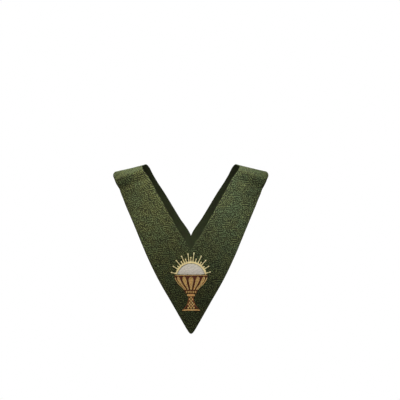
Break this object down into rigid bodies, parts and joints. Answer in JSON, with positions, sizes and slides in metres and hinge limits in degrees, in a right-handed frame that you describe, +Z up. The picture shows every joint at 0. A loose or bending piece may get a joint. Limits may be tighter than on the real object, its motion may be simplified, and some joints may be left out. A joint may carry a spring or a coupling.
{
  "type": "scapular",
  "caption": "Worn V-shaped scapular collar of green brocade with an embroidered chalice and host on its front point, worn over an alb.",
  "frame": {"origin": "the middle of the neck opening, level with the inner corners of the two shoulder seams, on the shoulder line", "axes": "+X to the wearer's left, +Y to the wearer's back, +Z up; the embroidered front faces -Y"},
  "size_m": [0.3088, 0.177, 0.3221],
  "materials": {
    "brocade": "matt two-tone jacquard, wiry light green threads on a dark olive ground",
    "white_thread": "satin stitch with a soft sheen",
    "pale_gold_thread": "satin stitch with a soft metallic sheen",
    "gold_thread": "satin stitch in old gold with dark red-brown outlines"
  },
  "bodies": {
    "root": {"front_panel": "brocade", "back_panel": "brocade", "host": "white_thread", "glory": "pale_gold_thread", "cup": "gold_thread", "knop": "gold_thread", "foot": "gold_thread", "foot_band": "pale_gold_thread"}
  },
  "joints": []
}
